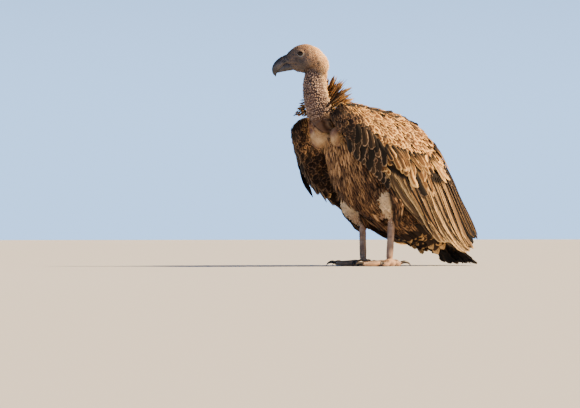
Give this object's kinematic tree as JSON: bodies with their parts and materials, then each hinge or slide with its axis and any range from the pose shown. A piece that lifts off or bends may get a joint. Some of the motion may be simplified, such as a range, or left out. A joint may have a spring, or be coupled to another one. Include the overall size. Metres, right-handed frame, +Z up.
{
  "type": "griffon vulture",
  "caption": "Life-size standing vulture, head turned to profile, wings folded, tail tip resting on the floor.",
  "frame": {"origin": "centre of the bounding box in plan, on the floor the bird stands on", "axes": "+Z up, -Y the way the body faces, +X the bird's left"},
  "size_m": [0.2968, 0.6156, 0.5673],
  "materials": {
    "head_down": "short cream-buff down over dark grey skin",
    "neck_skin": "bare granulated mauve-pink skin with sparse pale down",
    "bill": "dark grey-brown horn, satin gloss",
    "eye": "dark brown iris and black pupil under a wet gloss",
    "ruff": "rusty brown lance-shaped plumes with pale shafts",
    "body_feathers": "dark brown feathers with buff edges and streaks",
    "coverts": "cream-edged wing coverts with dark brown centres",
    "secondaries": "grey-brown flight feathers with pale edges",
    "flight_black": "black-brown primaries and tail feathers",
    "thigh_down": "white to cream leg down",
    "leg_skin": "grey-brown scaly skin",
    "claw": "black-brown horn, satin gloss"
  },
  "bodies": {
    "root": {"alula_right": "flight_black", "bill_lower": "bill", "bill_upper": "bill", "claw_hind_left": "claw", "claw_hind_right": "claw", "claw_inner_left": "claw", "claw_inner_right": "claw", "claw_middle_left": "claw", "claw_middle_right": "claw", "claw_outer_left": "claw", "claw_outer_right": "claw", "eye_left": "eye", "eye_right": "eye", "foot_left": "leg_skin", "foot_right": "leg_skin", "head": "head_down", "neck": "neck_skin", "primaries_left": "flight_black", "primaries_right": "flight_black", "ruff": "ruff", "secondaries_left": "secondaries", "secondaries_right": "secondaries", "shank_left": "leg_skin", "shank_right": "leg_skin", "tail": "flight_black", "thigh_left": "thigh_down", "thigh_right": "thigh_down", "toe_hind_left": "leg_skin", "toe_hind_right": "leg_skin", "toe_inner_left": "leg_skin", "toe_inner_right": "leg_skin", "toe_middle_left": "leg_skin", "toe_middle_right": "leg_skin", "toe_outer_left": "leg_skin", "toe_outer_right": "leg_skin", "trunk": "body_feathers", "wing_left": "coverts", "wing_right": "coverts"}
  },
  "joints": []
}
